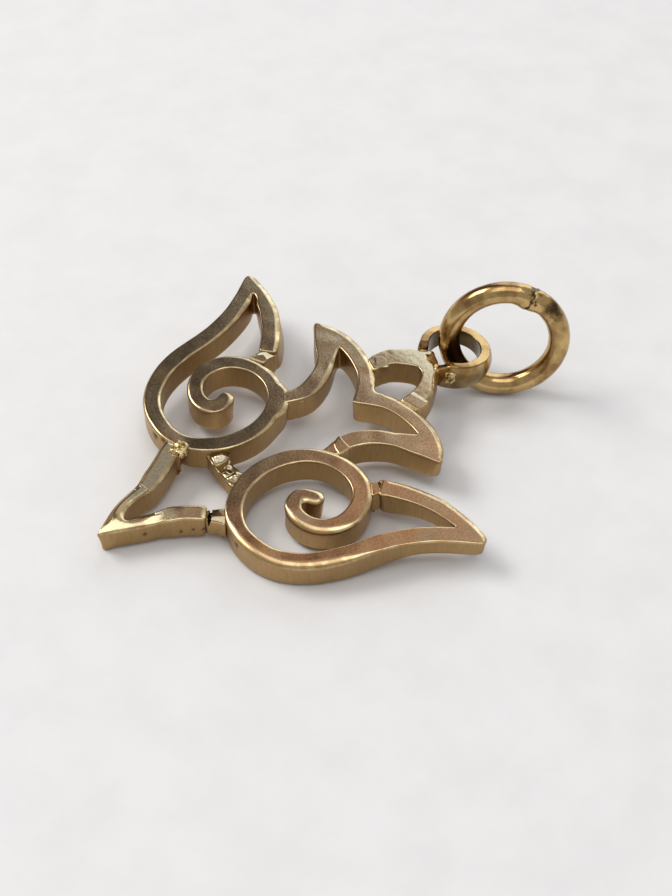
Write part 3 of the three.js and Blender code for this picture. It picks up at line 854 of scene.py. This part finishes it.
necks = {
    "leftLegSolder": ("left_leg_solder", {"facets": [(0, 0.32), (60, 0.3), (-150, 0.1)], "shine": 0.6}),
    "rightLegSolder": ("right_leg_solder", {
        "crest": 1.48, "flare": (0.1, 0.05), "rim": 0.1, "shine": 0,
        "facets": [(120, 0.05), (170, 0.06)], "slotDepth": 0.1, "slotWidth": 0.06}),
    "leftFeatherSolder": ("left_feather_solder", {
        "crest": 1.3, "narrow": 0.24, "flare": (-0.2, -0.2), "rim": 0.2}),
    "rightFeatherSolder": ("right_feather_solder", {
        "crest": 1.53, "narrow": 0.16, "bulge": (0, 0.06), "rim": 1, "shine": 0.05}),
    "leftTailSolder": ("left_tail_solder", {"crest": 1.4, "narrow": 0.3, "flare": (-0.3, -0.3)}),
    "rightTailSolder": ("right_tail_solder", {
        "crest": 1.26, "flare": (0.15, 0.15), "rim": 0.1, "shine": 0,
        "facets": [(0, 0.1), (110, 0.25), (-120, 0.3)], "slotDepth": 0.25, "dark": 0.35}),
    "leftBridgeSolder": ("left_bridge_solder", {
        "crest": 1.38, "flare": (0.08, 0.06), "shine": 0,
        "facets": [(10, 0.5), (100, 0.5), (-110, 0.6), (190, 0.3)]}),
    "rightBridgeSolder": ("right_bridge_solder", {
        "crest": 1.34, "shine": 0.1,
        "facets": [(30, 0.4), (120, 0.5), (-70, 0.5), (-160, 0.4)]}),
    "leftHeadSolder": ("left_head_solder", {
        "crest": 1.505, "facets": [(150, 0.15), (-90, 0.2)], "shine": 0.1, "rim": 0.3}),
    "rightHeadSolder": ("right_head_solder", {
        "crest": 1.52, "facets": [(-160, 0.08), (20, 0.1)], "shine": 0.1, "rim": 0.9}),
}
for name, (node, settings) in necks.items():
    addPiece(name, neckMesh(name, node, {**neck, **settings}), "charm", "solder", node)
print("filed necks made:", len(necks))

# frozen solder: a lump with a rough skin and loose grains
lump = {
    "spacing": 0.06, "corner": 30, "soften": 3, "rough": 0.06, "roughSize": 0.2,
    "ovalPoints": 18, "ovalStep": 0.35,
    # width and height of each level, over the foot, from the top, and as a share of the rise
    "footLevels": [(0.75, 0), (0.95, 0.06), (1, 0.2)],
    "topLevels": [(1, -0.2), (0.98, -0.08), (0.9, -0.01)],
    "crownLevels": [(0.75, 0.4), (0.55, 0.75), (0.35, 0.9), (0.16, 1)],
    "grain": 0.04 * mm, "grainSizes": {"Min": 0.5, "Max": 1.4}, "seed": 4,
}
solderBrass = newMaterial("granular brass solder", frozenSolder, granularSolder)


def lumpMesh(name, node, s):
    _, loop = outlineOf(node)
    if "blob" in s:  # an oval between the head and the bail
        x, y, length, width, way = s["blob"]
        turned = Matrix.Rotation(math.radians(way), 2)
        turns = [k * s["ovalStep"] for k in range(s["ovalPoints"])]
        oval = [turned @ Vector((length * math.cos(t), width * math.sin(t))) for t in turns]
        loop = [(Vector((x, y)) + p).to_3d() for p in oval]
    path = relaxed(smoothLoop(loop, s["spacing"], s["corner"]), s["soften"])
    path[:, :2] += s.get("shift", (0, 0))
    middle = path.mean(0)
    bottom = s.get("foot", middle[2])
    top, rise = s["top"], s["rise"]
    half = 0.5 * (bottom + top)
    grow = path[:, :2] - inwards(path) * s["reach"]
    levels = [(scale, bottom + up) for scale, up in s["footLevels"]]
    levels.append((1, half))
    levels += [(scale, top + up) for scale, up in s["topLevels"]]
    levels += [(scale, top + share * rise) for scale, share in s["crownLevels"]]
    points = []
    for scale, z in levels:
        for x, y in grow:
            spot = Vector((middle[0] + (x - middle[0]) * scale, middle[1] + (y - middle[1]) * scale, z))
            push = (spot - Vector((middle[0], middle[1], half))).normalized()
            points.append(spot + push * s["rough"] * noise.noise(spot / s["roughSize"]))
    return meshFrom(name, points, closedTube(len(levels), len(grow)), solderBrass)


def grainTree(s):
    tree, given = geometryTree("frozenGrains", {
        "Grain Size": "Float", "Density": "Float", "Seed": "Int", "Material": "Material"})
    strewn = addNode(tree, "GeometryNodeDistributePointsOnFaces", {
        "Mesh": given["Geometry"], "Density": given["Density"], "Seed": given["Seed"]})
    grain = addNode(tree, "GeometryNodeMeshIcoSphere", {"Radius": given["Grain Size"], "Subdivisions": 1})
    sizes = addNode(tree, "FunctionNodeRandomValue", {
        **s["grainSizes"], "Seed": given["Seed"]}, data_type="FLOAT")
    placed = addNode(tree, "GeometryNodeInstanceOnPoints", {
        "Points": strewn, "Instance": grain, "Scale": sizes, "Rotation": strewn.outputs["Rotation"]})
    both = addNode(tree, "GeometryNodeJoinGeometry", {"Geometry": placed})
    tree.links.new(given["Geometry"], both.inputs["Geometry"])
    whole = addNode(tree, "GeometryNodeRealizeInstances", {"Geometry": both})
    finished = addNode(tree, "GeometryNodeSetMaterial", {
        "Geometry": whole, "Material": given["Material"]})
    addNode(tree, "NodeGroupOutput", {"Geometry": finished})
    return tree


grains = grainTree(lump)
lumps = {
    "leftTailGrains": ("left_tail_solder", {
        "reach": 0.04, "foot": 1.2, "top": 1.5, "rise": 0.06, "shift": (0.44, -0.06), "rough": 0.09,
        "density": 40}),
    "leftBailSolder": ("left_bail_solder", {"reach": 0.02, "top": 1.2, "rise": 0.06, "density": 4}),
    "rightBailSolder": ("right_bail_solder", {
        "reach": 0.0, "foot": 0.85, "top": 1.5, "rise": 0.05, "blob": (3.6, -1.05, 0.3, 0.16, 136),
        "rough": 0.05, "density": 70}),
}
for name, (node, settings) in lumps.items():
    frozen = treeMesh(name, lumpMesh(name, node, {**lump, **settings}), grains, {
        "Grain Size": lump["grain"], "Density": settings["density"] / mm ** 2,
        "Seed": lump["seed"] + len(name), "Material": solderBrass})
    addPiece(name, frozen, "charm", "solder", *([node] if name.endswith("Solder") else []))
print("solder lumps made:", len(lumps))

# matt plaster, smoothed: a pale, even floor with a faint mottle
floor = {
    "size": 1.6, "mottle": {"Scale": 1 / (3 * mm), "Detail": 5, "Roughness": 0.6},
    "stops": [(0.35, "#e4e5e7"), (0.6, "#e8e9eb")], "rough": 0.8, "gloss": 0.2,
}


def mattPlaster(tree, coords, s):
    mottle = addNode(tree, "ShaderNodeTexNoise", {"Vector": coords, **s["mottle"]})
    body = addNode(tree, "ShaderNodeValToRGB", {"Fac": mottle}, stops=s["stops"])
    return {"Base Color": body, "Roughness": s["rough"], "Specular IOR Level": s["gloss"]}


floorMesh = bpy.data.meshes.new("floor")
half = floor["size"] / 2
floorMesh.from_pydata(
    [(-half, -half, 0), (half, -half, 0), (half, half, 0), (-half, half, 0)], [], [(0, 1, 2, 3)])
floorMesh.materials.append(newMaterial("pale matt plaster", mattPlaster, floor))
floorPiece = bpy.data.objects.new("floor", floorMesh)
scene.collection.objects.link(floorPiece)

# camera at the photograph's place: portrait frame, so the sensor's length is the picture's height
view = {
    "place": (-27.144, -36.715, 50.185), "turn": (42.192, -2.2628, -34.5543), "lens": 58.26, "sensor": 36,
    "clip": 2 * mm,
}
camera = bpy.data.objects.new("camera", bpy.data.cameras.new("camera"))
scene.collection.objects.link(camera)
camera.location = Vector(view["place"]) * mm
camera.rotation_euler = [math.radians(a) for a in view["turn"]]
camera.data.lens = view["lens"]
camera.data.sensor_width = view["sensor"]
camera.data.clip_start = view["clip"]
scene.camera = camera

lamps = {
    "key": {"toward": (126, 48), "away": 0.42, "size": (0.2, 0.16), "power": 0.85, "tint": "#fffdf8"},
    "ceiling": {"toward": (235, 80), "away": 0.4, "size": (0.27, 0.27), "power": 0.34, "tint": "#ffffff"},
}
for name, s in lamps.items():
    lamp = bpy.data.objects.new(name, bpy.data.lights.new(name, "AREA"))
    scene.collection.objects.link(lamp)
    lamp.data.shape = "RECTANGLE"
    lamp.data.size, lamp.data.size_y = s["size"]
    lamp.data.energy = s["power"]
    lamp.data.color = colour(s["tint"])[:3]
    way = skyward(*s["toward"])
    lamp.location = way * s["away"]
    lamp.rotation_euler = (-way).to_track_quat("-Z", "Y").to_euler()

# room: pale all round, a dark side beyond the far wing, a dim patch over it and a bright window to the right
room = {
    "strength": 0.75, "windowGlow": (1.9, 2.0, 2.1, 1),
    "dark": ((80, 26), [(0.66, "#cdc9c6"), (0.82, "#ecd9cc"), (0.9, "#c9b9ae"), (0.95, "#5a5855")]),
    "patch": ((72, 54), [(0.966, "#ffffff"), (0.983, "#efd0c2"), (0.99, "#857e76"), (0.997, "#6b6762")]),
    "window": ((34, 25), [(0.85, 0.0), (0.91, 1.0)]),
}
world = bpy.data.worlds.new("room")
scene.world = world
world.use_nodes = True
worldTree = world.node_tree
worldTree.nodes.clear()
looking = addNode(worldTree, "ShaderNodeTexCoord").outputs["Generated"]
shades = {}
for side in ("dark", "patch", "window"):
    toward, stops = room[side]
    near = addNode(worldTree, "ShaderNodeVectorMath", {
        0: looking, 1: skyward(*toward)}, operation="DOT_PRODUCT")
    shades[side] = addNode(worldTree, "ShaderNodeValToRGB", {"Fac": near}, stops=stops)
walls = addNode(worldTree, "ShaderNodeMix", {
    "Factor": 1, "A": shades["dark"], "B": shades["patch"]}, data_type="RGBA", blend_type="MULTIPLY")
lit = addNode(worldTree, "ShaderNodeMix", {
    "Factor": shades["window"], "A": walls, "B": room["windowGlow"]}, data_type="RGBA")
glow = addNode(worldTree, "ShaderNodeBackground", {"Color": lit, "Strength": room["strength"]})
addNode(worldTree, "ShaderNodeOutputWorld", {"Surface": glow})
print("camera, lamps and room set")
